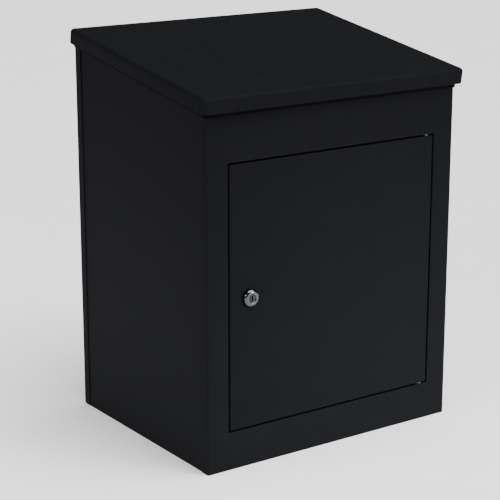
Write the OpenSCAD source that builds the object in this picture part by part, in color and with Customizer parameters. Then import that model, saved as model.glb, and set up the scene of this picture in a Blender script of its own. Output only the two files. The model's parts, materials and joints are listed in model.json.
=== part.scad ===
// Parcel drop box: a folded-sheet cabinet with a sloping hinged lid, a lockable
// front door and an anti-theft tray that a pair of links swings with the lid.
// Frame: origin at the middle of the base, +X right seen from the front,
// the front faces -Y, +Z up. All lengths in millimetres.

/* [Overall] */
// Overall width, across the lid
overall_w = 435; // [425:1:450]
// Overall depth, from the lid's front to the back panel
overall_d = 345; // [340:1:370]
// Overall height, at the back of the lid
overall_h = 560; // [550:1:600]
// Thickness of the folded sheet
sheet = 1.2; // [1:0.1:1.5]

/* [Body] */
// Width of the body under the lid
body_w = 414; // [410:1:416]
// How far the lid's front stands out in front of the body
lid_overhang = 11.5; // [10:0.5:14]
// Width of the strips that wrap from the front and back panels on to the sides
strip_w = 15; // [12:1:20]
// Outer radius of the body's folded corners
body_bend = 2; // [1.8:0.1:3]
// Height by which the back panel's lower edge clears the floor
back_lift = 1.5; // [0:0.5:3]

/* [Lid] */
// Slope of the lid towards the front, in degrees
slope = 8.8; // [8:0.1:9.5]
// Depth of the lid's side and front flanges
lid_flange = 21; // [18:1:24]
// Outer radius of the lid's bends
lid_bend = 5; // [4.5:0.1:5.5]
// Radius of the lid's two upright front corners
lid_corner = 9; // [6:0.5:12]
// Distance from the lid's rear edge to the back plane
lid_setback = 6; // [5:0.5:8]
// Opening angle of the lid, in degrees
lid_open = 80; // [60:5:85]

/* [Lid hinge] */
// Length of the piano hinge
hinge_len = 400; // [360:5:400]
// Number of knuckles
hinge_knuckles = 16; // [8:2:20]
// Outer radius of a knuckle
knuckle_r = 2.75; // [2.5:0.05:2.8]
// Radius of the hinge pin
hinge_pin_r = 1.5; // [1.2:0.1:1.6]
// Width of each hinge leaf
leaf_w = 25; // [22:1:30]

/* [Tray] */
// Length of the tray below its pivot
tray_len = 290; // [260:5:295]
// Height of the tray's pivot
tray_pivot_z = 400; // [390:5:410]
// Distance of the tray's pivot in front of the lid's hinge axis
tray_pivot_gap = 12; // [10:1:16]
// Length of the crank arm on the lid and on the tray
crank_len = 70; // [65:1:75]
// Angle of the crank arm below the horizontal with the lid shut, in degrees
crank_angle = 40; // [36:1:44]

/* [Door] */
// Width of the door
door_w = 342.4; // [330:0.2:346]
// Height of the door
door_h = 362.8; // [340:0.2:370]
// Height of the door's lower edge
door_z0 = 55.1; // [50:0.1:60]
// Gap all round the door
door_gap = 2.2; // [2:0.1:3]
// Depth of the door pan
door_depth = 10; // [9:0.5:11]
// Distance from the door's right edge to its pivot
pivot_inset = 9.5; // [8:0.5:10]
// Depth of the folded returns round the door opening
return_d = 15; // [14:0.5:16]

/* [Lock] */
// Distance from the door's left edge to the lock's centre
lock_inset = 31.9; // [30:0.1:34]
// Radius of the lock's bezel
bezel_r = 12; // [11:0.5:13]
// How far the bezel stands out of the door
bezel_h = 6.5; // [5:0.5:8]
// Length of the cam from the lock's axis to its tip
cam_len = 36; // [35:1:38]

/* [Fixing holes] */
// Radius of the wall and floor fixing holes
fix_r = 4.25; // [3:0.25:5]
// Sideways spacing of the wall holes
wall_dx = 280; // [200:10:300]
// Height of the lower wall holes
wall_z0 = 150; // [140:5:160]
// Vertical spacing of the wall holes
wall_dz = 280; // [270:5:290]
// Sideways spacing of the floor holes
floor_dx = 300; // [200:10:320]
// Front to back spacing of the floor holes
floor_dy = 220; // [160:10:240]

/* [Hidden] */
$fn = 48;

big = 1200;             // larger than the whole box, for half-space cutters
eps = 0.01;
run = 0.05;             // radial clearance of a running fit
gap = 0.3;              // clearance between parts that move past each other

// planes of the body
back_y = overall_d / 2;
front_y = -overall_d / 2 + lid_overhang;
side_out = body_w / 2 - sheet;        // outer face of a side panel
side_in = side_out - sheet;           // inner face of a side panel
corner_r = body_bend - sheet;         // inner radius of the body's folds
front_in = front_y + sheet;
back_in = back_y - sheet;

// lid and hinge: v runs backwards along the slope, w is square to it, both from the hinge axis
lid_top = knuckle_r + gap + sheet;    // w of the lid's outer face
lid_under = lid_top - sheet;          // w of the lid's underside
bend_w = lid_top - lid_bend;          // w of the bends' centres
lid_rear_y = back_y - lid_setback;
hinge_y = lid_rear_y - lid_bend - 0.5;
rear_bend_v = (lid_rear_y - lid_bend - hinge_y + bend_w * sin(slope)) / cos(slope);
front_bend_v = (-overall_d / 2 + lid_bend - hinge_y + bend_w * sin(slope)) / cos(slope);
hinge_z = overall_h - lid_bend - rear_bend_v * sin(slope) - bend_w * cos(slope);
lid_v0 = front_bend_v - lid_bend;
lid_v1 = rear_bend_v + lid_bend;

// rim of the body and the rubber trim on it
trim_t = 1.4;
trim_top = lid_under - 0.1;
rim_w = trim_top - 2;
trim_bottom = rim_w - 8;
weather_t = 2.5;                      // rubber strip round the body, below the lid's flange
weather_top = -12;
weather_bottom = lid_top - lid_flange - 6.5;
strip_top_w = -10;                    // the wrapped strips stop under the lid's flange
ledge_z = hinge_z - 6.3;              // ledge of the back panel, below the lid's sweep
ledge_flange = 20;

// hinge leaves
leaf_t = 1;
leaf_y = hinge_y - knuckle_r;         // front face of the fixed leaf
pitch = hinge_len / hinge_knuckles;
knuckle_gap = 0.3;
leaf_notch = knuckle_r + 0.45;
stud_x = [-175, -105, -35, 35, 105, 175];
leaf_stud_drop = 10;                  // below the ledge
leaf_stud_v = -15;

// tray linkage, all points as [y, z]
hinge_a = [hinge_y, hinge_z];
pivot_b = [hinge_y - tray_pivot_gap, tray_pivot_z];
crank = crank_len * [-cos(crank_angle), -sin(crank_angle)];
eye_c = hinge_a + crank;
eye_d = pivot_b + crank;
link_pin_r = 3;
link_t = 2;
link_w = 12;
link_eye_r = 8;
link_x = 196.5;                       // inner face of a link
cheek_out = 200.5;                    // outer face of the tray's cheeks and the lid's brackets
bracket_t = 1.5;
link_vec = eye_c - eye_d;
link_len = norm(link_vec);
link_angle = atan2(link_vec[0], link_vec[1]);
stud_r = 4;
bush_r = 6;
plate_off = 12;                       // tray plate behind its pivot
tray_hem = 8;

// door
door_z1 = door_z0 + door_h;
open_x = door_w / 2 + door_gap;
open_z0 = door_z0 - door_gap;
open_z1 = door_z1 + door_gap;
door_bend = 2;
lip_w = 7;                            // stop lip on the latch side
return_end = front_y + return_d;
pivot_x = door_w / 2 - pivot_inset;
pivot_y = front_y + 6;
pivot_r = 3;
pivot_bush_r = 4.5;

// lock, along its own axis: h is outwards from the door's face
lock_x = -door_w / 2 + lock_inset;
lock_z = (door_z0 + door_z1) / 2;
barrel_r = 9.5;
barrel_len = 15.5;
plug_r = 6;
plug_face = bezel_h - 0.7;
cam_h = -barrel_len - 0.8;            // front face of the cam
cam_t = 2;
cam_w = 14;
drive = 6;                            // square drive at the plug's end
nut_flats = 24;

// ---- helpers ----

module tilted() {
  translate([0, hinge_y, hinge_z]) rotate([slope, 0, 0]) children();
}

// slab between two planes parallel to the lid
module slab(w0, w1) {
  tilted() translate([-big / 2, -big, w0]) cube([big, 2 * big, w1 - w0]);
}

module below(w) {
  slab(w - big, w);
}

module span(x0, x1, y0, y1, z0, z1) {
  translate([x0, y0, z0]) cube([x1 - x0, y1 - y0, z1 - z0]);
}

// cylinder along X between two x values, centred on a [y, z] point
module x_rod(x0, x1, at, r) {
  translate([min(x0, x1), at[0], at[1]]) rotate([0, 90, 0]) cylinder(r = r, h = abs(x1 - x0));
}

// cylinder along Y between two y values
module y_rod(y0, y1, x, z, r) {
  translate([x, y0, z]) rotate([-90, 0, 0]) cylinder(r = r, h = y1 - y0);
}

module both_sides() {
  children();
  mirror([1, 0, 0]) children();
}

module rounded_rect(w, y0, y1, r) {
  translate([-w / 2 + r, y0]) square([w - 2 * r, y1 - y0]);
  translate([-w / 2, y0 + r]) square([w, y1 - y0 - 2 * r]);
  for (sx = [-1, 1], y = [y0 + r, y1 - r]) translate([sx * (w / 2 - r), y]) circle(r);
}

// ring of sheet round the body, as seen from above
module body_ring() {
  difference() {
    rounded_rect(body_w, front_y, back_y, body_bend);
    rounded_rect(body_w - 2 * sheet, front_in, back_in, corner_r);
  }
}

// outline with rounded upper corners, from -depth up to 0
module crowned(len, depth, r) {
  translate([-len / 2, -depth]) square([len, depth - r]);
  translate([-len / 2 + r, -depth]) square([len - 2 * r, depth]);
  for (s = [-1, 1]) translate([s * (len / 2 - r), -r]) circle(r);
}

module crowned_block(lx, ly, depth, r) {
  intersection() {
    rotate([90, 0, 0]) linear_extrude(height = ly + 2, center = true) crowned(lx, depth, r);
    rotate([90, 0, 90]) linear_extrude(height = lx + 2, center = true) crowned(ly, depth, r);
  }
}

// folded pan, its face at z = 0 and open below
module pan(lx, ly, depth, r) {
  difference() {
    crowned_block(lx, ly, depth, r);
    translate([0, 0, -sheet]) crowned_block(lx - 2 * sheet, ly - 2 * sheet, depth, r - sheet);
  }
}

// hat section along X: feet on the plane z = 0, crown at -depth
module hat(len, crown_w, foot, depth) {
  translate([-len / 2, 0, 0]) {
    translate([0, -crown_w / 2, -depth]) cube([len, crown_w, sheet]);
    for (s = [-1, 1]) {
      translate([0, s * (crown_w - sheet) / 2 - sheet / 2, -depth]) cube([len, sheet, depth]);
      translate([0, s * (crown_w + foot) / 2 - foot / 2, -sheet]) cube([len, foot, sheet]);
    }
  }
}

// weld stud with a hex nut; the plate's face is at z = 0 and the stud points down
module stud_and_nut(through) {
  translate([0, 0, -through - 6]) cylinder(r = 2, h = through + 6);
  translate([0, 0, -through - 3.2]) cylinder(r = 4, h = 3.2, $fn = 6);
}

// ---- cabinet ----

module front_panel() color("#242426") {
  difference() {
    intersection() {
      linear_extrude(height = overall_h) intersection() {
        body_ring();
        translate([-big / 2, front_y - 1]) square([big, strip_w + 1]);
      }
      below(rim_w);
    }
    span(-open_x, open_x, front_y - 1, front_in + 1, open_z0, open_z1);
    // the strips stop below the rim, under the lid's flange
    both_sides() intersection() {
      span(side_out - body_bend, body_w, front_y - 1, front_y + strip_w + 1, 0, overall_h);
      slab(strip_top_w, strip_top_w + big);
    }
  }
  // returns round the door opening
  difference() {
    span(-open_x - sheet, open_x + sheet, front_in, return_end, open_z0 - sheet, open_z1 + sheet);
    span(-open_x, open_x, front_in - 1, return_end + 1, open_z0, open_z1);
    for (z = [open_z0 - sheet - 1, open_z1 - 1])
      translate([pivot_x, pivot_y, z]) cylinder(r = pivot_bush_r - gap, h = sheet + 2);
  }
  // stop lip on the latch side
  span(-open_x, -open_x + lip_w, return_end - sheet, return_end, open_z0, open_z1);
}

module side_panel() {
  difference() {
    intersection() {
      span(side_in, side_out, front_in + corner_r, back_in - corner_r, 0, overall_h);
      below(rim_w);
    }
    span(0, big, hinge_y - 7, back_y, ledge_z, overall_h);
  }
}

module left_side_panel() color("#202022") mirror([1, 0, 0]) side_panel();

module right_side_panel() color("#202022") side_panel();

module back_panel() color("#202022") {
  difference() {
    translate([0, 0, back_lift]) linear_extrude(height = ledge_z - back_lift) intersection() {
      body_ring();
      translate([-big / 2, back_y - strip_w]) square([big, strip_w + 1]);
    }
    both_sides() intersection() {
      span(side_out, body_w, back_y - strip_w - 1, back_y - body_bend, 0, overall_h);
      slab(strip_top_w, strip_top_w + big);
    }
    for (sx = [-1, 1], z = [wall_z0, wall_z0 + wall_dz])
      y_rod(back_in - 1, back_y + 1, sx * wall_dx / 2, z, fix_r);
  }
  // ledge and down-turned flange that carry the hinge
  span(-side_in, side_in, leaf_y + leaf_t, back_in, ledge_z - sheet, ledge_z);
  span(-side_in, side_in, leaf_y + leaf_t, leaf_y + leaf_t + sheet, ledge_z - ledge_flange, ledge_z);
}

module bottom_panel() color("#202022") difference() {
  translate([0, (front_in + back_in) / 2, 0])
    rotate([180, 0, 0]) pan(2 * side_in, back_in - front_in, 20, body_bend);
  for (sx = [-1, 1], sy = [-1, 1])
    translate([sx * floor_dx / 2, sy * floor_dy / 2, -1]) cylinder(r = fix_r, h = sheet + 2);
}

module rim_seal() color("#121212") difference() {
  intersection() {
    difference() {
      span(-side_out - trim_t, side_out + trim_t, front_y - trim_t, hinge_y - 8, 400, overall_h);
      span(-side_in + trim_t, side_in - trim_t, front_in + trim_t, hinge_y, 399, overall_h + 1);
    }
    slab(trim_bottom, trim_top);
  }
  // slot for the sheet edges
  intersection() {
    union() {
      both_sides() span(side_in, side_out, front_y, hinge_y, 399, overall_h);
      span(-side_out, side_out, front_y, front_in, 399, overall_h);
    }
    below(rim_w);
  }
}

// band of rubber stuck to the front and the sides, over the wrapped strips
module weather_strip() color("#121212") intersection() {
  linear_extrude(height = overall_h) difference() {
    intersection() {
      rounded_rect(body_w + 2 * weather_t, front_y - weather_t, back_y, body_bend + weather_t);
      translate([-big / 2, front_y - big]) square([big, big + back_y - front_y - body_bend - 1]);
    }
    translate([-side_out, front_y + body_bend]) square([2 * side_out, big]);
    intersection() {
      rounded_rect(body_w, front_y, back_y, body_bend);
      union() {
        translate([-big / 2, front_y - 1]) square([big, strip_w + 1]);
        translate([-big / 2, back_y - strip_w]) square([big, strip_w + 1]);
      }
    }
  }
  slab(weather_bottom, weather_top);
}

module hinge_fixed_leaf() color("#8c8e90") difference() {
  union() {
    span(-hinge_len / 2, hinge_len / 2, leaf_y, leaf_y + leaf_t, hinge_z - leaf_w, hinge_z);
    for (i = [0 : 2 : hinge_knuckles - 1])
      x_rod(-hinge_len / 2 + i * pitch, -hinge_len / 2 + (i + 1) * pitch - knuckle_gap, hinge_a, knuckle_r);
  }
  for (i = [1 : 2 : hinge_knuckles - 1])
    span(-hinge_len / 2 + i * pitch - knuckle_gap, -hinge_len / 2 + (i + 1) * pitch,
         leaf_y - 1, hinge_y + 5, hinge_z - leaf_notch, hinge_z + 5);
  x_rod(-hinge_len / 2 - 1, hinge_len / 2 + 1, hinge_a, hinge_pin_r + run);
  for (x = stud_x) y_rod(leaf_y - 1, leaf_y + leaf_t + eps, x, ledge_z - leaf_stud_drop, 2.2);
}

module hinge_pin() color("#9a9c9e") {
  x_rod(-hinge_len / 2 - 1.5, hinge_len / 2 + 1.5, hinge_a, hinge_pin_r);
  both_sides() x_rod(hinge_len / 2 + gap, hinge_len / 2 + 1.5, hinge_a, 2.4);
}

module body_hinge_nuts() color("#b4b6b8")
  for (x = stud_x)
    translate([x, leaf_y + leaf_t, ledge_z - leaf_stud_drop]) rotate([-90, 0, 0]) stud_and_nut(leaf_t);

module tray_pivot_studs() color("#b4b6b8") both_sides() {
  x_rod(link_x + 0.5, side_in, pivot_b, stud_r);
  x_rod(link_x + 0.5, link_x + 1.9, pivot_b, stud_r + 2.5);
}

module tray_bumpers() color("#121212")
  for (sx = [-1, 1]) y_rod(pivot_b[0] + plate_off + sheet + gap, back_in, sx * 110, 145, 8);

module strike_plate() color("#b4b6b8")
  span(-open_x - sheet, -open_x + lip_w, return_end, return_end + 1, lock_z - 18, lock_z + 18);

module door_bumpers() color("#121212")
  for (z = [door_z0 + 45, door_z1 - 45])
    y_rod(front_y + door_depth + gap, return_end - sheet, -open_x + lip_w / 2, z, 3.2);

module door_bush() {
  difference() {
    union() {
      translate([0, 0, gap]) cylinder(r = pivot_bush_r, h = door_gap - gap);
      cylinder(r = pivot_bush_r - gap, h = door_gap + sheet + 2);
      translate([0, 0, door_gap + sheet]) cylinder(r = pivot_bush_r + 0.2, h = 2);
    }
    translate([0, 0, -1]) cylinder(r = pivot_r + run, h = door_gap + sheet + 4);
    translate([0, 0, -1]) cylinder(r = pivot_bush_r, h = 1 + gap);
  }
}

module door_bushes() color("#d8d8d4") {
  translate([pivot_x, pivot_y, door_z1]) door_bush();
  translate([pivot_x, pivot_y, door_z0]) mirror([0, 0, 1]) door_bush();
}

// ---- lid ----

// folded block with rounded front corners, set in by the given wall
module lid_block(wall) intersection() {
  translate([0, (lid_v0 + lid_v1) / 2, lid_top - wall])
    crowned_block(overall_w - 2 * wall, lid_v1 - lid_v0 - 2 * wall, lid_flange, lid_bend - wall);
  translate([0, 0, lid_top - 2 * lid_flange]) linear_extrude(height = 3 * lid_flange)
    rounded_rect(overall_w - 2 * wall, lid_v0 + wall, lid_v1 + lid_flange, lid_corner - wall);
}

module lid_panel() color("#222224") tilted() difference() {
  lid_block(0);
  lid_block(sheet);
  // the rear edge is only rolled over: no flange hangs behind the hinge
  span(-overall_w / 2 + sheet, overall_w / 2 - sheet, lid_v1 - sheet - 2, lid_v1 + 1,
       lid_top - lid_flange - 1, bend_w);
  // round lower rear corners of the side flanges
  difference() {
    span(-overall_w, overall_w, lid_v1 - lid_bend, lid_v1 + 1,
         lid_top - lid_flange - 1, lid_top - lid_flange + lid_bend);
    x_rod(-overall_w, overall_w, [lid_v1 - lid_bend, lid_top - lid_flange + lid_bend], lid_bend);
  }
}

module lid_stiffener() color("#222224") tilted()
  translate([0, lid_v0 * 0.55, lid_under]) hat(390, 44, 14, 10);

module hinge_moving_leaf() color("#8c8e90") tilted() difference() {
  union() {
    span(-hinge_len / 2, hinge_len / 2, -leaf_w, 0, lid_under - leaf_t, lid_under);
    for (i = [1 : 2 : hinge_knuckles - 1])
      x_rod(-hinge_len / 2 + i * pitch, -hinge_len / 2 + (i + 1) * pitch - knuckle_gap, [0, 0], knuckle_r);
  }
  for (i = [0 : 2 : hinge_knuckles - 1])
    span(-hinge_len / 2 + i * pitch - knuckle_gap, -hinge_len / 2 + (i + 1) * pitch,
         -leaf_notch, 5, 0, 5);
  x_rod(-hinge_len / 2 - 1, hinge_len / 2 + 1, [0, 0], hinge_pin_r + run);
  for (x = stud_x)
    translate([x, leaf_stud_v, lid_under - leaf_t - 1]) cylinder(r = 2.2, h = leaf_t + 1 + eps);
}

module lid_hinge_nuts() color("#b4b6b8") tilted()
  for (x = stud_x) translate([x, leaf_stud_v, lid_under]) stud_and_nut(leaf_t);

module link_bracket() difference() {
  union() {
    intersection() {
      translate([cheek_out - bracket_t, 0, 0]) rotate([90, 0, 90]) linear_extrude(height = bracket_t)
        polygon([[eye_c[0] - 24, overall_h], [eye_c[0] + 24, overall_h],
                 [eye_c[0] + 9, eye_c[1]], [eye_c[0] - 9, eye_c[1]]]);
      below(lid_under);
    }
    x_rod(cheek_out - bracket_t, cheek_out, eye_c, 9);
    intersection() {
      span(cheek_out - 16, cheek_out, eye_c[0] - 24, eye_c[0] + 24, 450, overall_h);
      slab(lid_under - bracket_t, lid_under);
    }
  }
  x_rod(cheek_out - bracket_t - 1, cheek_out + 1, eye_c, link_pin_r);
}

module left_link_bracket() color("#8c8e90") mirror([1, 0, 0]) link_bracket();

module right_link_bracket() color("#8c8e90") link_bracket();

// shouldered rivet through a plate that ends at cheek_out, with the link inside it
module link_pin(at) {
  x_rod(link_x - gap, cheek_out, at, link_pin_r);
  x_rod(link_x - gap - 1.4, link_x - gap, at, 5);
  x_rod(cheek_out, cheek_out + 1.4, at, 5);
}

module upper_link_pins() color("#b4b6b8") both_sides() link_pin(eye_c);

// ---- tray ----

module tray_cheek() {
  back = pivot_b[0] + plate_off;
  tip = pivot_b[1] - tray_len;
  difference() {
    union() {
      translate([cheek_out - sheet, 0, 0]) rotate([90, 0, 90]) linear_extrude(height = sheet)
        polygon([[back, pivot_b[1] + 12], [pivot_b[0] - 12, pivot_b[1] + 12],
                 [eye_d[0] - 4, eye_d[1] + 9], [eye_d[0] - 2, eye_d[1] - 9],
                 [back - 20, eye_d[1] - 60], [back - 16, tip], [back, tip]]);
      x_rod(cheek_out - sheet, cheek_out, eye_d, 10);
    }
    x_rod(cheek_out - sheet - 1, cheek_out + 1, pivot_b, bush_r);
    x_rod(cheek_out - sheet - 1, cheek_out + 1, eye_d, link_pin_r);
  }
}

module tray_panel() color("#242426") {
  back = pivot_b[0] + plate_off;
  tip = pivot_b[1] - tray_len;
  both_sides() tray_cheek();
  span(-cheek_out, cheek_out, back, back + sheet, tip, pivot_b[1] + 12);
  span(-cheek_out, cheek_out, back, back + tray_hem, tip, tip + sheet);
}

module tray_bushes() color("#d8d8d4") both_sides() difference() {
  union() {
    x_rod(link_x + 2.2, cheek_out, pivot_b, bush_r);
    x_rod(cheek_out, side_in - gap, pivot_b, bush_r + 2.5);
  }
  x_rod(link_x, side_in, pivot_b, stud_r + run);
}

module lower_link_pins() color("#b4b6b8") both_sides() link_pin(eye_d);

// flat bar with an eye at each end, standing up from the tray's eye
module link() translate([link_x, eye_d[0], eye_d[1]]) rotate([-link_angle, 0, 0])
  rotate([90, 0, 90]) linear_extrude(height = link_t) difference() {
    union() {
      translate([-link_w / 2, 0]) square([link_w, link_len]);
      circle(link_eye_r);
      translate([0, link_len]) circle(link_eye_r);
    }
    circle(link_pin_r + 0.4);
    translate([0, link_len]) circle(link_pin_r + run);
  }

module left_link() color("#a8aaac") mirror([1, 0, 0]) link();

module right_link() color("#a8aaac") link();

// ---- door ----

module door_panel() color("#242426") difference() {
  translate([0, front_y, lock_z]) rotate([90, 0, 0]) pan(door_w, door_h, door_depth, door_bend);
  y_rod(front_y - 1, front_in + 1, lock_x, lock_z, barrel_r);
  translate([pivot_x, pivot_y, door_z0 - 1]) cylinder(r = pivot_r, h = door_h + 2);
}

module door_stiffener() color("#242426")
  translate([0, front_in, lock_z]) rotate([90, 0, 0]) rotate([0, 0, 90]) hat(door_h - 30, 50, 14, 8);

module door_pivot_pin() {
  translate([0, 0, -12]) cylinder(r = pivot_r, h = 12 + door_gap + sheet + 2.5);
  translate([0, 0, -sheet - 4]) cylinder(r = pivot_r + 1, h = 4);
}

module door_pivot_pins() color("#b4b6b8") {
  translate([pivot_x, pivot_y, door_z1]) door_pivot_pin();
  translate([pivot_x, pivot_y, door_z0]) mirror([0, 0, 1]) door_pivot_pin();
}

// the lock's own axis: origin on the door's face, +Z outwards
module at_lock() {
  translate([lock_x, front_y, lock_z]) rotate([90, 0, 0]) children();
}

module lock_body() color("#d0d2d4") at_lock() rotate_extrude() difference() {
  union() {
    translate([0, -barrel_len]) square([barrel_r, barrel_len]);
    square([bezel_r, bezel_h - 4]);
    square([bezel_r - 4, bezel_h]);
    intersection() {
      translate([bezel_r - 4, bezel_h - 4]) circle(4);
      square([bezel_r, bezel_h]);
    }
  }
  translate([-1, -barrel_len - 1]) square([plug_r + run + 1, barrel_len + bezel_h + 2]);
}

module lock_washer() color("#b4b6b8") at_lock() difference() {
  translate([0, 0, -sheet - 1]) cylinder(r = 13, h = 1);
  translate([0, 0, -sheet - 2]) cylinder(r = barrel_r, h = 3);
}

module lock_nut() color("#b4b6b8") at_lock() difference() {
  translate([0, 0, -sheet - 5]) cylinder(r = nut_flats / 2 / cos(30), h = 4, $fn = 6);
  translate([0, 0, -sheet - 6]) cylinder(r = barrel_r, h = 6);
}

module lock_plug() color("#c4c6c8") at_lock() difference() {
  union() {
    translate([0, 0, cam_h]) cylinder(r = plug_r, h = plug_face - cam_h);
    translate([-drive / 2, -drive / 2, cam_h - cam_t - 0.5]) cube([drive, drive, cam_t + 1]);
  }
  // key slot
  translate([-0.9, -3.6, plug_face - 9]) cube([1.8, 7.2, 10]);
  // thread for the cam screw
  translate([0, 0, cam_h - cam_t - 1]) cylinder(r = 2, h = 7);
}

module lock_cam() color("#b4b6b8") at_lock() difference() {
  union() {
    translate([0, 0, cam_h - cam_t]) cylinder(r = cam_w / 2, h = cam_t);
    translate([-cam_w / 2, -cam_len, cam_h - cam_t]) cube([cam_w, cam_len, cam_t]);
  }
  translate([-drive / 2, -drive / 2, cam_h - cam_t - 1]) cube([drive, drive, cam_t + 2]);
}

module cam_washer() color("#b4b6b8") at_lock() difference() {
  translate([0, 0, cam_h - cam_t - 1.5]) cylinder(r = 6.5, h = 1);
  translate([0, 0, cam_h - cam_t - 2]) cylinder(r = 2, h = 2);
}

module cam_screw() color("#b4b6b8") at_lock() difference() {
  union() {
    translate([0, 0, cam_h - cam_t - 1.6]) cylinder(r = 2, h = 7);
    translate([0, 0, cam_h - cam_t - 4]) cylinder(r = 4, h = 2.5);
  }
  // cross slot
  for (a = [0, 90]) rotate([0, 0, a]) translate([-2.4, -0.5, cam_h - cam_t - 5]) cube([4.8, 1, 2.2]);
}

front_panel();
left_side_panel();
right_side_panel();
back_panel();
bottom_panel();
rim_seal();
weather_strip();
hinge_fixed_leaf();
hinge_pin();
body_hinge_nuts();
tray_pivot_studs();
tray_bumpers();
strike_plate();
door_bumpers();
door_bushes();
lid_panel();
lid_stiffener();
hinge_moving_leaf();
lid_hinge_nuts();
left_link_bracket();
right_link_bracket();
upper_link_pins();
tray_panel();
tray_bushes();
lower_link_pins();
left_link();
right_link();
door_panel();
door_stiffener();
door_pivot_pins();
lock_body();
lock_washer();
lock_nut();
lock_plug();
lock_cam();
cam_washer();
cam_screw();
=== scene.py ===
"""Parcel drop box in black powder-coated sheet steel: shells, lock, hinge, finishes and stage."""

import json
import math

import bmesh
import bpy
from bpy.props import FloatProperty, FloatVectorProperty, IntProperty, PointerProperty
from mathutils import Matrix, Vector


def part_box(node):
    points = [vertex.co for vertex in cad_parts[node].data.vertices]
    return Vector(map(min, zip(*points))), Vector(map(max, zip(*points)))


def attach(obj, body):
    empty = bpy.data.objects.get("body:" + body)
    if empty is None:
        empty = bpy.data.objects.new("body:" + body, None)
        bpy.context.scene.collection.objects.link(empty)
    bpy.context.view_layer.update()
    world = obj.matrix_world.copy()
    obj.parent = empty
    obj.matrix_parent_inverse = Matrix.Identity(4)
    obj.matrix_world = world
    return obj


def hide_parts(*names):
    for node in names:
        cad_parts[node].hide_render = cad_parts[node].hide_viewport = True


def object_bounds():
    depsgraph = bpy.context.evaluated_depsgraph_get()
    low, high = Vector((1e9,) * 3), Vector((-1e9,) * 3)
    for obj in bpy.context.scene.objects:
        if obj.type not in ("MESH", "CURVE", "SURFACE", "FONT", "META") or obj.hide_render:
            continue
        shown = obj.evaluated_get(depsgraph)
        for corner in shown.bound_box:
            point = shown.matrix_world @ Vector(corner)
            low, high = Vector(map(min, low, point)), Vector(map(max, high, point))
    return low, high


bl_info = {
    "name": "Parcel Drop Box",
    "version": (1, 0, 0),
    "blender": (4, 5, 0),
    "location": "View3D > Sidebar > Parcel Box",
    "description": "Builds a parcel drop box with a sloping lid, an inset door and a cam lock",
    "category": "Object",
}

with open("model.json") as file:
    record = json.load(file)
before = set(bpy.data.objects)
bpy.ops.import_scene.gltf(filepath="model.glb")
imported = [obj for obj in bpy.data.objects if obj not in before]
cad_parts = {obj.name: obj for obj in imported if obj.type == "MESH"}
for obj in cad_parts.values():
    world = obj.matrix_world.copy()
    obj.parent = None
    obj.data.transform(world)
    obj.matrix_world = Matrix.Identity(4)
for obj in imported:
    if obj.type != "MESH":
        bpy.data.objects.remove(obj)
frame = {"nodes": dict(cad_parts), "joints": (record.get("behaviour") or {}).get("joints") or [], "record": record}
CAD_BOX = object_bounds()

MM = 0.001
SHEET_SLOT = "powder_coat"


def joint(name):
    return next(j for j in frame["joints"] if j["name"] == name)


HINGE = Vector(joint("lid_hinge")["pos_m"])
LID_LOW, LID_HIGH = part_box("lid_panel")
FRONT_LOW, FRONT_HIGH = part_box("front_panel")
DOOR_LOW, DOOR_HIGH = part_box("door_panel")
LOCK_AXIS = Vector(joint("lock_turn")["pos_m"])


class BoxSizes(bpy.types.PropertyGroup):
    """Sizes of the folded sheet and the lock that a maker would change."""

    sheet: FloatProperty(
        name="Sheet", description="Thickness of the folded sheet", default=1.2 * MM, unit="LENGTH"
    )
    slope: FloatProperty(
        name="Lid slope", description="Fall of the lid towards the front", default=math.radians(8.8),
        subtype="ANGLE",
    )
    lid_bend: FloatProperty(
        name="Lid bend", description="Outer radius of the lid's folds", default=5 * MM, unit="LENGTH"
    )
    lid_corner: FloatProperty(
        name="Lid corner", description="Radius of the lid's front corners", default=9 * MM, unit="LENGTH"
    )
    lid_top: FloatProperty(
        name="Lid height", description="Lid's face above the hinge axis", default=4.25 * MM, unit="LENGTH"
    )
    lid_flange: FloatProperty(
        name="Lid flange", description="Depth of the lid's flanges", default=21 * MM, unit="LENGTH"
    )
    body_bend: FloatProperty(
        name="Body bend", description="Outer radius of the body's folds", default=2 * MM, unit="LENGTH"
    )
    rim: FloatProperty(
        name="Rim", description="Body's rim above the hinge axis, along the lid's normal", default=0.95 * MM,
        unit="LENGTH",
    )
    strip_top: FloatProperty(
        name="Strip top", description="Top of the wrapped strips below the hinge axis", default=10 * MM,
        unit="LENGTH",
    )
    door_gap: FloatProperty(
        name="Door gap", description="Gap all round the door", default=2.2 * MM, unit="LENGTH"
    )
    door_bend: FloatProperty(
        name="Door bend", description="Outer radius of the door's folds", default=1.8 * MM, unit="LENGTH"
    )
    stop_lip: FloatProperty(
        name="Stop lip", description="Width of the stop lip on the latch side", default=7 * MM, unit="LENGTH"
    )
    edge: FloatProperty(
        name="Cut edge", description="Rounding that the coating gives a cut edge", default=0.35 * MM,
        unit="LENGTH",
    )
    bend_steps: IntProperty(
        name="Bend steps", description="Facets across a fold", default=6, min=2, max=12
    )
    bezel_steps: IntProperty(
        name="Bezel steps", description="Facets round the lock", default=96, min=24, max=128
    )


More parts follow.
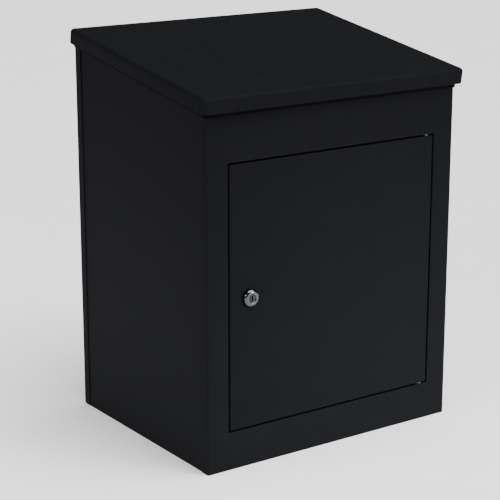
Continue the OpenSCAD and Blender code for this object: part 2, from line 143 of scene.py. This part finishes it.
class BoxFinishes(bpy.types.PropertyGroup):
    """Colours of the coating, the metals and the stage."""

    coating: FloatVectorProperty(
        name="Coating", description="Powder coat", default=(0.0060, 0.0062, 0.0071), subtype="COLOR"
    )
    zinc: FloatVectorProperty(
        name="Zinc", description="Dull zinc plate", default=(0.46, 0.47, 0.49), subtype="COLOR"
    )
    steel: FloatVectorProperty(
        name="Steel", description="Bright plated steel", default=(0.60, 0.61, 0.62), subtype="COLOR"
    )
    chrome: FloatVectorProperty(
        name="Chrome", description="Polished chrome", default=(0.080, 0.082, 0.086), subtype="COLOR"
    )
    # darker than rubber is: painted shade, so that the rubber strip under the lid's flange shows as the shadow
    # line there
    rubber: FloatVectorProperty(
        name="Rubber", description="Black rubber", default=(0.0014, 0.0014, 0.0015), subtype="COLOR"
    )
    nylon: FloatVectorProperty(
        name="Nylon", description="Black nylon", default=(0.035, 0.035, 0.037), subtype="COLOR"
    )
    floor: FloatVectorProperty(
        name="Floor", description="Pale studio floor", default=(0.92, 0.92, 0.92), subtype="COLOR"
    )


# ---- shader maths ----


class Wire:
    """A shader output that plain sums work on: wires and numbers mix freely."""

    def __init__(self, recipe, socket):
        self.recipe = recipe
        self.socket = socket

    def math(self, operation, *values):
        return self.recipe.add("ShaderNodeMath", {"operation": operation}, dict(enumerate(values)))

    def __add__(self, other):
        return self.math("ADD", self, other)

    def __sub__(self, other):
        return self.math("SUBTRACT", self, other)

    def __mul__(self, other):
        return self.math("MULTIPLY", self, other)

    __radd__ = __add__
    __rmul__ = __mul__

    def clamped(self):
        return self.recipe.add("ShaderNodeClamp", {}, {"Value": self})

    def between(self, low, high):
        """This value, spread from the range low..high on to 0..1."""
        return self.recipe.add("ShaderNodeMapRange", {}, {"Value": self, "From Min": low, "From Max": high})


class Recipe:
    """One procedural material: its node tree, its shader and the coordinates it reads."""

    def __init__(self, name, color, roughness, metallic=0.0):
        self.material = bpy.data.materials.new(name)
        self.material.use_nodes = True
        self.tree = self.material.node_tree
        self.shader = self.tree.nodes["Principled BSDF"]
        self.set(Base_Color=(*color, 1.0), Roughness=roughness, Metallic=metallic)
        self.place = self.add("ShaderNodeTexCoord", {}, {}, output="Object")

    def add(self, kind, settings, inputs, output=0):
        """Makes a node, sets it up, feeds its sockets and gives back one of its outputs."""
        node = self.tree.nodes.new(kind)
        for key, value in settings.items():
            setattr(node, key, value)
        for key, value in inputs.items():
            self.feed(node.inputs[key], value)
        return Wire(self, node.outputs[output])

    def feed(self, socket, value):
        if isinstance(value, Wire):
            self.tree.links.new(value.socket, socket)
        else:
            socket.default_value = value

    def set(self, **values):
        """Feeds sockets of the shader; an underscore in a name stands for a space."""
        for key, value in values.items():
            self.feed(self.shader.inputs[key.replace("_", " ")], value)

    def noise(self, scale, detail=2.0, roughness=0.5, place=None):
        return self.add(
            "ShaderNodeTexNoise", {},
            {"Vector": place or self.place, "Scale": scale, "Detail": detail, "Roughness": roughness},
        )

    def stretched(self, along):
        """Object coordinates scaled by a factor for each axis."""
        return self.add("ShaderNodeMapping", {"vector_type": "POINT"}, {"Vector": self.place, "Scale": along})

    def blend(self, share, first, second):
        """A mix of two colours by a wire from 0 to 1."""
        first, second = (c if isinstance(c, Wire) else (*c, 1.0) for c in (first, second))
        return self.add(
            "ShaderNodeMix", {"data_type": "RGBA"}, {0: share, 6: first, 7: second}, output=2
        )

    def bump(self, height, distance, strength=1.0, under=None):
        inputs = {"Height": height, "Distance": distance, "Strength": strength}
        if under is not None:
            inputs["Normal"] = under
        return self.add("ShaderNodeBump", {}, inputs)


def shade(color, factor):
    return tuple(min(1.0, c * factor) for c in color)


def powder_coat(chosen):
    """Satin black powder coat: orange peel, a fine texture, soft sheet waves and a little dust."""
    coat = Recipe("satin_coat", chosen.coating, 0.5)
    peel = coat.noise(420.0, 2.0, 0.45)
    grain = coat.noise(1700.0, 2.0, 0.6)
    waves = coat.noise(5.0, 1.0, 0.4)
    dust = coat.noise(38.0, 6.0, 0.62)
    specks = coat.noise(900.0, 3.0, 0.7)
    cloud = dust.between(0.35, 0.75).clamped()
    tone = coat.blend(cloud, shade(chosen.coating, 0.94), shade(chosen.coating, 1.10))
    tone = coat.blend(specks.between(0.66, 0.74).clamped() * 0.35, tone, shade(chosen.coating, 1.7))
    ripple = coat.bump(waves, 1.6 * MM, 0.35)
    skin = coat.bump(peel, 0.05 * MM, 0.55, ripple)
    coat.set(
        Base_Color=tone,
        Roughness=cloud * 0.07 + grain * 0.06 + 0.50,
        Normal=coat.bump(grain, 0.02 * MM, 0.5, skin),
        Specular_IOR_Level=0.012,
    )
    return coat.material


def chrome(chosen):
    """Polished chrome with faint haze and hairline scratches."""
    metal = Recipe("lock_chrome", chosen.chrome, 0.1, 1.0)
    haze = metal.noise(320.0, 4.0, 0.6)
    hair = metal.noise(240.0, 2.0, 0.5, metal.stretched((9.0, 1.0, 1.4)))
    line = hair.between(0.60, 0.66).clamped()
    metal.set(
        Base_Color=metal.blend(haze.between(0.3, 0.8).clamped(), chosen.chrome, shade(chosen.chrome, 0.86)),
        Roughness=haze * 0.08 + line * 0.12 + 0.06,
        Normal=metal.bump(hair, 0.01 * MM, 0.25),
    )
    return metal.material


def turned_steel(chosen):
    """The plug's face: the chrome's colour darkened, painted shade for the plug sunk in the bezel, with a turned
    finish round the lock's axis.
    """
    metal = Recipe("plug_chrome_painted_shade", shade(chosen.chrome, 0.35), 0.24, 1.0)
    centred = metal.add(
        "ShaderNodeMapping", {"vector_type": "POINT"}, {"Vector": metal.place, "Location": -LOCK_AXIS}
    )
    flat = metal.add("ShaderNodeVectorMath", {"operation": "MULTIPLY"}, {0: centred, 1: (1.0, 0.0, 1.0)})
    radius = metal.add("ShaderNodeVectorMath", {"operation": "LENGTH"}, {0: flat}, output="Value")
    rings = metal.add("ShaderNodeMath", {"operation": "SINE"}, {0: radius * (2 * math.pi / (0.22 * MM))})
    wear = metal.noise(600.0, 4.0, 0.6)
    share = wear.between(0.4, 0.7).clamped()
    metal.set(
        # painted shade: the chrome darkened to between 0.2 and 0.45 of itself where the plug sits sunk in the
        # bezel; the wear noise only varies it
        Base_Color=metal.blend(share, shade(chosen.chrome, 0.2), shade(chosen.chrome, 0.45)),
        Roughness=wear * 0.18 + 0.18,
        Normal=metal.bump(rings, 0.01 * MM, 0.35),
    )
    return metal.material


def plated(name, color, spangle, roughness):
    """Zinc-plated steel: faint crystals, handling marks and a fine brushed grain."""
    metal = Recipe(name, color, roughness, 1.0)
    crystals = metal.add(
        "ShaderNodeTexVoronoi", {"feature": "F1"},
        {"Vector": metal.place, "Scale": spangle, "Randomness": 1.0}, output="Color",
    )
    tint = metal.add("ShaderNodeSeparateColor", {}, {"Color": crystals})
    smears = metal.noise(60.0, 5.0, 0.65)
    grain = metal.noise(500.0, 2.0, 0.5, metal.stretched((0.12, 1.0, 1.0)))
    share = (tint * 0.5 + smears * 0.5).clamped()
    metal.set(
        Base_Color=metal.blend(share, shade(color, 0.78), shade(color, 1.12)),
        Roughness=smears * 0.16 + tint * 0.06 + roughness - 0.08,
        Normal=metal.bump(grain, 0.01 * MM, 0.4),
    )
    return metal.material


def rubber(chosen):
    """Matt black rubber with a bloom of dust in its pores. Its colour is darker than rubber is: painted shade, so
    that the rubber strip under the lid's flange reads as the shadow line there.
    """
    skin = Recipe("rubber_and_painted_shadow_line", chosen.rubber, 0.8)
    pores = skin.noise(1100.0, 3.0, 0.6)
    bloom = skin.noise(70.0, 4.0, 0.6).between(0.45, 0.8).clamped()
    skin.set(
        # the rubber's colour is painted shade for the dark line under the lid's flange; the bloom is real dust
        Base_Color=skin.blend(bloom, chosen.rubber, shade(chosen.rubber, 1.9)),
        Roughness=pores * 0.15 + 0.68,
        Normal=skin.bump(pores, 0.05 * MM, 0.6),
        Specular_IOR_Level=0.03,
    )
    return skin.material


def nylon(chosen):
    """Black nylon with faint turning marks."""
    plastic = Recipe("black_nylon", chosen.nylon, 0.42)
    clouds = plastic.noise(180.0, 3.0, 0.5)
    turning = plastic.noise(420.0, 2.0, 0.5, plastic.stretched((1.0, 1.0, 6.0)))
    plastic.set(
        Base_Color=plastic.blend(clouds.between(0.3, 0.7).clamped(), shade(chosen.nylon, 0.92), chosen.nylon),
        Roughness=turning * 0.14 + 0.34,
        Normal=plastic.bump(turning, 0.03 * MM, 0.3),
    )
    return plastic.material


def floor_finish(chosen):
    """Pale seamless floor with the faintest mottle."""
    paper = Recipe("studio_floor", chosen.floor, 0.6)
    mottle = paper.noise(6.0, 4.0, 0.6)
    paper.set(
        Base_Color=paper.blend(mottle.between(0.3, 0.7).clamped(), shade(chosen.floor, 0.985), chosen.floor),
        Roughness=mottle * 0.06 + 0.55,
    )
    return paper.material


# ---- mesh helpers ----


def sizes():
    return bpy.context.scene.parcel_box_sizes


def finishes():
    return bpy.context.scene.parcel_box_finishes


def tilted():
    """From the lid's own axes, with z square to its face, to the frame."""
    return Matrix.Translation(HINGE) @ Matrix.Rotation(sizes().slope, 4, "X")


def block(low, high):
    """A bmesh box between two corners."""
    mesh = bmesh.new()
    bmesh.ops.create_cube(mesh, size=1.0)
    low, high = Vector(low), Vector(high)
    bmesh.ops.scale(mesh, vec=high - low, verts=mesh.verts)
    bmesh.ops.translate(mesh, vec=(low + high) / 2, verts=mesh.verts)
    return mesh


def faces_towards(mesh, direction, cosine=0.99):
    direction = Vector(direction)
    mesh.normal_update()
    return [f for f in mesh.faces if f.normal.dot(direction) > cosine]


def rounded(mesh, edges, radius, steps):
    bmesh.ops.bevel(
        mesh, geom=edges, offset=radius, offset_type="OFFSET", segments=steps, profile=0.5,
        affect="EDGES", material=-1, clamp_overlap=True,
    )


def edges_where(mesh, test):
    """Edges whose two ends both pass the test."""
    return [e for e in mesh.edges if all(test(v.co) for v in e.verts)]


def near(a, b):
    return abs(a - b) < 0.01 * MM


def finished(name, mesh, body, material, replaces=(), thickness=0.0, edge=0.0, angle=35):
    """Turns a bmesh into a piece that rides on a body: wall, softened edges, finish."""
    data = bpy.data.meshes.new(name)
    mesh.normal_update()
    mesh.to_mesh(data)
    mesh.free()
    data.polygons.foreach_set("use_smooth", [True] * len(data.polygons))
    data.set_sharp_from_angle(angle=math.radians(angle))
    piece = bpy.data.objects.new(name, data)
    bpy.context.scene.collection.objects.link(piece)
    if thickness:
        wall = piece.modifiers.new("wall", "SOLIDIFY")
        wall.thickness = thickness
        wall.offset = -1.0
        wall.use_even_offset = True
    if edge:
        soften = piece.modifiers.new("cut_edges", "BEVEL")
        soften.width = edge
        soften.segments = 2
        soften.limit_method = "ANGLE"
        soften.angle_limit = math.radians(angle)
        soften.harden_normals = True
    data.materials.append(material)
    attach(piece, body)
    if replaces:
        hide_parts(*replaces)
    return piece


def coated(name, mesh, body, node):
    """A shell of coated sheet, in place of a CAD node."""
    s = sizes()
    return finished(
        name, mesh, body, bpy.data.materials["satin_coat"], replaces=(node,),
        thickness=s.sheet, edge=s.edge,
    )


def softened(node, name, material, width):
    """A copy of a CAD node with its cut edges rounded, in place of the node."""
    source = frame["nodes"][node]
    mesh = bmesh.new()
    mesh.from_mesh(source.data)
    bmesh.ops.remove_doubles(mesh, verts=mesh.verts, dist=0.001 * MM)
    bmesh.ops.dissolve_limit(
        mesh, angle_limit=math.radians(0.5), verts=mesh.verts, edges=mesh.edges, use_dissolve_boundaries=False
    )
    record = frame["record"]
    body = next(b for b, members in record["behaviour"]["bodies"].items() if node in members)
    return finished(name, mesh, body, material, replaces=(node,), edge=width, angle=38)


# ---- operators ----


class PARCELBOX_OT_finishes(bpy.types.Operator):
    """Makes every finish and gives the carried-over CAD nodes theirs"""

    bl_idname = "parcelbox.finishes"
    bl_label = "Finishes"

    def execute(self, context):
        chosen = finishes()
        made = {
            "powder_coat": powder_coat(chosen),
            "chrome": chrome(chosen),
            "zinc_plate": plated("dull_zinc", chosen.zinc, 420.0, 0.44),
            "bright_steel": plated("bright_zinc", chosen.steel, 900.0, 0.30),
            "rubber": rubber(chosen),
            "nylon": nylon(chosen),
        }
        turned_steel(chosen)
        for entry in frame["record"]["subparts"]:
            node = frame["nodes"][entry["node"]]
            node.data.materials.clear()
            node.data.materials.append(made[entry["material_slot"]])
        return {"FINISHED"}


class PARCELBOX_OT_lid(bpy.types.Operator):
    """Builds the lid's folded shell: rolled rear edge, deep flanges, rounded folds"""

    bl_idname = "parcelbox.lid"
    bl_label = "Lid shell"

    def execute(self, context):
        s = sizes()
        bend = s.lid_bend
        bend_z = s.lid_top - bend
        cos, sin = math.cos(s.slope), math.sin(s.slope)
        front = (LID_LOW.y + bend - HINGE.y + bend_z * sin) / cos - bend
        rear = (LID_HIGH.y - bend - HINGE.y + bend_z * sin) / cos + bend
        bottom = s.lid_top - s.lid_flange
        mesh = block((LID_LOW.x, front, bottom), (LID_HIGH.x, rear, s.lid_top))
        for at, radius in ((front, s.lid_corner), (rear, s.lid_corner * 2 / 3)):
            upright = [e for e in mesh.edges if all(near(v.co.y, at) for v in e.verts)
                       and near(e.calc_length(), s.lid_flange)]
            rounded(mesh, upright, radius, s.bend_steps + 2)
        rounded(mesh, edges_where(mesh, lambda p: near(p.z, s.lid_top)), bend, s.bend_steps)
        bmesh.ops.delete(
            mesh, geom=faces_towards(mesh, (0, 0, -1)) + faces_towards(mesh, (0, 1, 0)), context="FACES"
        )
        corners = [v for v in mesh.verts if near(v.co.y, rear) and near(v.co.z, bottom)]
        bmesh.ops.bevel(
            mesh, geom=corners, offset=bend, offset_type="OFFSET", segments=s.bend_steps, profile=0.5,
            affect="VERTICES", material=-1,
        )
        mesh.transform(tilted())
        coated("lid_shell", mesh, "lid", "lid_panel")
        return {"FINISHED"}


class PARCELBOX_OT_front(bpy.types.Operator):
    """Builds the front panel: wrapped strips, door opening with returns, stop lip"""

    bl_idname = "parcelbox.front"
    bl_label = "Front shell"

    def execute(self, context):
        s = sizes()
        low, high = FRONT_LOW, FRONT_HIGH
        spare_height = 50 * MM
        inset = 20 * MM
        mouth_bend = 0.9 * MM
        # taller than it ends up: the lid's slope cuts it
        mesh = block(low, (high.x, high.y, high.z + spare_height))
        ends = [f for way in ((0, 1, 0), (0, 0, 1), (0, 0, -1)) for f in faces_towards(mesh, way)]
        bmesh.ops.delete(mesh, geom=ends, context="FACES")
        rounded(mesh, edges_where(mesh, lambda p: near(p.y, low.y)), s.body_bend, 4)
        normal = tilted().to_3x3() @ Vector((0, 0, 1))
        for level, cut in ((s.rim, True), (-s.strip_top, False)):
            bmesh.ops.bisect_plane(
                mesh, geom=mesh.verts[:] + mesh.edges[:] + mesh.faces[:], dist=0.001 * MM,
                plane_co=HINGE + normal * level, plane_no=normal, clear_outer=cut,
            )
        mesh.normal_update()
        spare = [
            f for f in mesh.faces
            if abs(f.normal.x) > 0.99 and (f.calc_center_median() - HINGE).dot(normal) > -s.strip_top
        ]
        bmesh.ops.delete(mesh, geom=spare, context="FACES")
        # the door opening, folded inwards: an inset whose corners then move to the door's gap
        wall = max(faces_towards(mesh, (0, -1, 0)), key=lambda f: f.calc_area())
        bmesh.ops.inset_region(mesh, faces=[wall], thickness=inset, use_boundary=True, use_even_offset=True)
        centre = (DOOR_LOW + DOOR_HIGH) / 2
        half = (DOOR_HIGH - DOOR_LOW) / 2
        for vert in wall.verts:
            side = 1 if vert.co.x > centre.x else -1
            level = 1 if vert.co.z > centre.z else -1
            vert.co.x = centre.x + side * (half.x + s.door_gap)
            vert.co.z = centre.z + level * (half.z + s.door_gap)
        rim = list(wall.edges)
        bmesh.ops.delete(mesh, geom=[wall], context="FACES_ONLY")
        grown = bmesh.ops.extrude_edge_only(mesh, edges=rim)["geom"]
        inner = [g for g in grown if isinstance(g, bmesh.types.BMVert)]
        bmesh.ops.translate(mesh, vec=(0, high.y - low.y, 0), verts=inner)
        left = centre.x - half.x - s.door_gap
        latch = [
            g for g in grown
            if isinstance(g, bmesh.types.BMEdge) and all(v in inner and near(v.co.x, left) for v in g.verts)
        ]
        lip = bmesh.ops.extrude_edge_only(mesh, edges=latch)["geom"]
        bmesh.ops.translate(
            mesh, vec=(s.stop_lip, 0, 0), verts=[g for g in lip if isinstance(g, bmesh.types.BMVert)]
        )
        opening = [
            e for e in mesh.edges
            if all(near(v.co.y, low.y) and abs(v.co.x - centre.x) < half.x + s.door_gap * 1.01
                   and abs(v.co.z - centre.z) < half.z + s.door_gap * 1.01 for v in e.verts)
        ]
        rounded(mesh, opening, mouth_bend, 3)
        coated("front_shell", mesh, "cabinet", "front_panel")
        return {"FINISHED"}


class PARCELBOX_OT_door(bpy.types.Operator):
    """Builds the door's folded pan"""

    bl_idname = "parcelbox.door"
    bl_label = "Door shell"

    def execute(self, context):
        s = sizes()
        mesh = block(DOOR_LOW, DOOR_HIGH)
        front = DOOR_LOW.y
        bmesh.ops.delete(mesh, geom=faces_towards(mesh, (0, 1, 0)), context="FACES_ONLY")
        across = [e for e in mesh.edges if abs(e.verts[0].co.y - e.verts[1].co.y) > 1 * MM]
        rounded(mesh, edges_where(mesh, lambda p: near(p.y, front)) + across, s.door_bend, 4)
        coated("door_shell", mesh, "door", "door_panel")
        return {"FINISHED"}


class PARCELBOX_OT_lock(bpy.types.Operator):
    """Turns the lock's bezel and threaded barrel, and softens its plug"""

    bl_idname = "parcelbox.lock"
    bl_label = "Lock"

    def execute(self, context):
        s = sizes()
        low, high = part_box("lock_body")
        rim = (high.x - low.x) / 2
        face = DOOR_LOW.y
        proud = face - low.y
        length = high.y - face
        bore, bore_depth = 6.05 * MM, 12 * MM
        barrel = 9.5 * MM
        shoulder, dome_steps = 4 * MM, 8
        chamfer = 0.5 * MM
        groove_in, groove_out, groove_depth = 7.6 * MM, 8.2 * MM, 0.35 * MM
        foot, undercut = 0.35 * MM, 0.3 * MM
        thread, thread_depth = 1.0 * MM, 0.5 * MM
        # outline from the bore's mouth, over the dome, to the barrel's end: radius, height over the door
        outline = [(bore, -bore_depth), (bore, proud - chamfer), (bore + chamfer, proud)]
        groove = (groove_in + groove_out) / 2
        outline += [(groove_in, proud), (groove, proud - groove_depth), (groove_out, proud)]
        for step in range(dome_steps + 1):
            turn = step / dome_steps * math.pi / 2
            outline.append(
                (rim - shoulder + shoulder * math.sin(turn), proud - shoulder + shoulder * math.cos(turn))
            )
        outline += [(rim, foot), (rim - undercut, 0.0), (barrel, 0.0)]
        for step in range(int(length / thread)):
            top = -step * thread
            outline += [
                (barrel, top - 0.25 * thread), (barrel - thread_depth, top - 0.5 * thread),
                (barrel, top - 0.75 * thread),
            ]
        outline += [(barrel, -length), (bore, -length)]
        mesh = bmesh.new()
        verts = [mesh.verts.new((r, -h, 0.0)) for r, h in outline]
        edges = [mesh.edges.new(pair) for pair in zip(verts, verts[1:])]
        bmesh.ops.spin(
            mesh, geom=verts + edges, cent=(0, 0, 0), axis=(0, 1, 0), angle=2 * math.pi,
            steps=s.bezel_steps, use_merge=True,
        )
        bmesh.ops.remove_doubles(mesh, verts=mesh.verts, dist=0.001 * MM)
        bmesh.ops.recalc_face_normals(mesh, faces=mesh.faces)
        bmesh.ops.translate(mesh, vec=(LOCK_AXIS.x, face, LOCK_AXIS.z), verts=mesh.verts)
        finished(
            "lock_bezel", mesh, "door", bpy.data.materials["lock_chrome"],
            replaces=("lock_body",), angle=30,
        )
        # the plug takes the darkened chrome, painted shade for its recess
        softened("lock_plug", "lock_cylinder", bpy.data.materials["plug_chrome_painted_shade"], 0.2 * MM)
        return {"FINISHED"}


class PARCELBOX_OT_hardware(bpy.types.Operator):
    """Softens the hinge, linkage, tray, trims and fasteners"""

    bl_idname = "parcelbox.hardware"
    bl_label = "Panels, hinge, linkage and fasteners"

    def execute(self, context):
        s = sizes()
        rounding = {
            SHEET_SLOT: s.edge, "zinc_plate": 0.15 * MM, "bright_steel": 0.25 * MM,
            "rubber": 0.5 * MM, "nylon": 0.25 * MM,
        }
        names = {
            "back_panel": "back_shell", "bottom_panel": "floor_pan", "left_side_panel": "left_side",
            "right_side_panel": "right_side", "tray_panel": "tray_shell",
        }
        done = {"lid_panel", "front_panel", "door_panel", "lock_body", "lock_plug"}
        for entry in frame["record"]["subparts"]:
            node, slot = entry["node"], entry["material_slot"]
            if node in done:
                continue
            material = frame["nodes"][node].data.materials[0]
            softened(node, names.get(node, node + "_piece"), material, rounding[slot])
        return {"FINISHED"}


class PARCELBOX_OT_stage(bpy.types.Operator):
    """Sets the floor, the soft lights and the camera"""

    bl_idname = "parcelbox.stage"
    bl_label = "Stage"

    def execute(self, context):
        scene = context.scene
        half_width, drop = 30.0, 0.2 * MM
        floor = bmesh.new()
        bmesh.ops.create_grid(floor, x_segments=8, y_segments=8, size=half_width)
        bmesh.ops.translate(floor, vec=(0, 0, CAD_BOX[0].z - drop), verts=floor.verts)
        data = bpy.data.meshes.new("studio_floor")
        floor.to_mesh(data)
        floor.free()
        data.materials.append(floor_finish(finishes()))
        ground = bpy.data.objects.new("studio_floor", data)
        scene.collection.objects.link(ground)

        world = bpy.data.worlds.new("studio_world")
        world.use_nodes = True
        sky = world.node_tree.nodes["Background"]
        sky.inputs["Color"].default_value = (1.0, 1.0, 1.0, 1.0)
        sky.inputs["Strength"].default_value = 0.15
        scene.world = world

        for name, kind, place, aim, size, power in (
            ("overhead", "SUN", (0.6, -0.9, 3.0), (0.0, 0.0, 0.28), math.radians(60), 6.8),
            ("front", "AREA", (1.5, -2.6, 0.9), (0.0, 0.0, 0.28), 1.4, 28.0),
            ("key", "AREA", (-2.1, -0.6, 1.3), (0.0, 0.0, 0.28), 0.5, 18.0),
            ("low_front", "SPOT", (1.3, -2.3, 0.30), (0.03, -0.17, -0.04), math.radians(22), 300.0),
            ("low_side", "SPOT", (-2.4, 0.8, 0.30), (-0.21, 0.0, -0.04), math.radians(24), 215.0),
        ):
            lamp = bpy.data.lights.new(name, kind)
            lamp.energy = power
            if kind == "SUN":
                lamp.angle = size
            elif kind == "SPOT":
                lamp.spot_size = size
                lamp.spot_blend = 1.0
                lamp.shadow_soft_size = 0.2
            else:
                lamp.shape = "SQUARE"
                lamp.size = size
            light = bpy.data.objects.new(name, lamp)
            light.visible_camera = False
            light.location = place
            light.rotation_mode = "QUATERNION"
            light.rotation_quaternion = (Vector(aim) - light.location).to_track_quat("-Z", "Y")
            scene.collection.objects.link(light)

        lens = bpy.data.cameras.new("camera")
        lens.lens = 115.5
        lens.sensor_width = 36.0
        lens.clip_start, lens.clip_end = 0.05, 200.0
        camera = bpy.data.objects.new("camera", lens)
        azimuth, elevation = math.radians(-34.95), math.radians(15.36)
        back = Vector((
            math.sin(azimuth) * math.cos(elevation), -math.cos(azimuth) * math.cos(elevation),
            math.sin(elevation),
        ))
        camera.location = (-1.2943, -1.8138, 0.8550)
        camera.rotation_mode = "QUATERNION"
        camera.rotation_quaternion = (-back).to_track_quat("-Z", "Y")
        scene.collection.objects.link(camera)
        scene.camera = camera
        return {"FINISHED"}


class PARCELBOX_PT_panel(bpy.types.Panel):
    """Lists the sizes, the finishes and the building steps"""

    bl_idname = "PARCELBOX_PT_panel"
    bl_label = "Parcel Drop Box"
    bl_space_type = "VIEW_3D"
    bl_region_type = "UI"
    bl_category = "Parcel Box"

    def draw(self, context):
        for group in (context.scene.parcel_box_sizes, context.scene.parcel_box_finishes):
            column = self.layout.column(align=True)
            for key in group.bl_rna.properties.keys():
                if key not in ("rna_type", "name"):
                    column.prop(group, key)
        for operator in OPERATORS:
            self.layout.operator(operator.bl_idname)


OPERATORS = (
    PARCELBOX_OT_stage, PARCELBOX_OT_finishes, PARCELBOX_OT_lid, PARCELBOX_OT_front, PARCELBOX_OT_door,
    PARCELBOX_OT_lock, PARCELBOX_OT_hardware,
)
CLASSES = (BoxSizes, BoxFinishes, *OPERATORS, PARCELBOX_PT_panel)


def register():
    for cls in CLASSES:
        bpy.utils.register_class(cls)
    bpy.types.Scene.parcel_box_sizes = PointerProperty(type=BoxSizes)
    bpy.types.Scene.parcel_box_finishes = PointerProperty(type=BoxFinishes)


def unregister():
    del bpy.types.Scene.parcel_box_finishes
    del bpy.types.Scene.parcel_box_sizes
    for cls in reversed(CLASSES):
        bpy.utils.unregister_class(cls)


def main():
    register()
    bpy.ops.parcelbox.stage()
    bpy.ops.parcelbox.finishes()
    bpy.ops.parcelbox.lid()
    bpy.ops.parcelbox.front()
    bpy.ops.parcelbox.door()
    bpy.ops.parcelbox.lock()
    bpy.ops.parcelbox.hardware()


if __name__ == "__main__":
    main()
